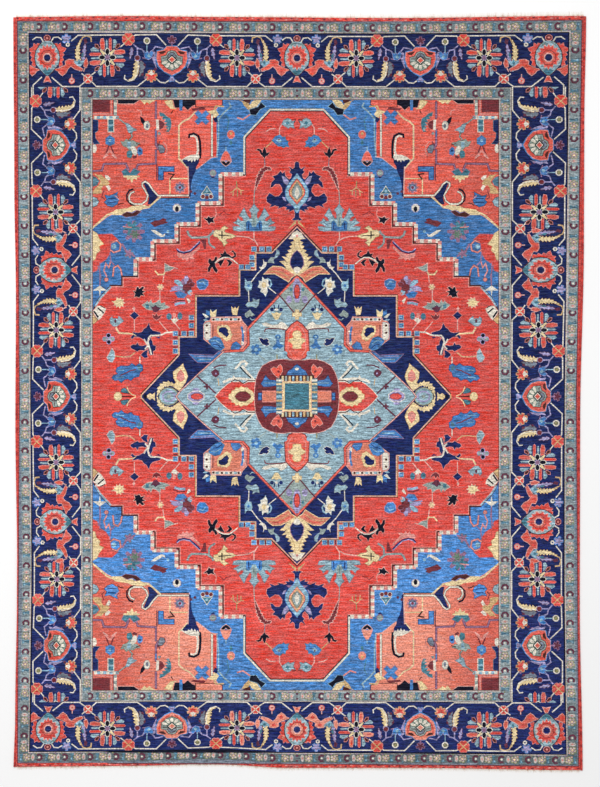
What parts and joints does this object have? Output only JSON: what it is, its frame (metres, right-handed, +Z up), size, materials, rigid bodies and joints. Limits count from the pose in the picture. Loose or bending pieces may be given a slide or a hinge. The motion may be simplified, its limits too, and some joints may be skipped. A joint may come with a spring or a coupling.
{
  "type": "afghan rug",
  "caption": "Room-size hand-knotted wool rug with a centre medallion, lying flat, with corded sides and short cut fringe at both ends.",
  "frame": {"origin": "on the floor under the middle of the rug's outline", "axes": "+Y along the length towards the end shown uppermost, +X across the width to the right, +Z up out of the pile"},
  "size_m": [2.752, 3.661, 0.009],
  "materials": {
    "pile_wool": "dense cut wool pile, matt with a soft sheen",
    "selvedge_wool": "red wool yarn wrapped round side warps, matt",
    "end_cotton": "undyed cotton warps, matt"
  },
  "bodies": {
    "root": {"pile": "pile_wool", "selvedge_left": "selvedge_wool", "selvedge_right": "selvedge_wool", "fringe_far": "end_cotton", "fringe_near": "end_cotton"}
  },
  "joints": []
}
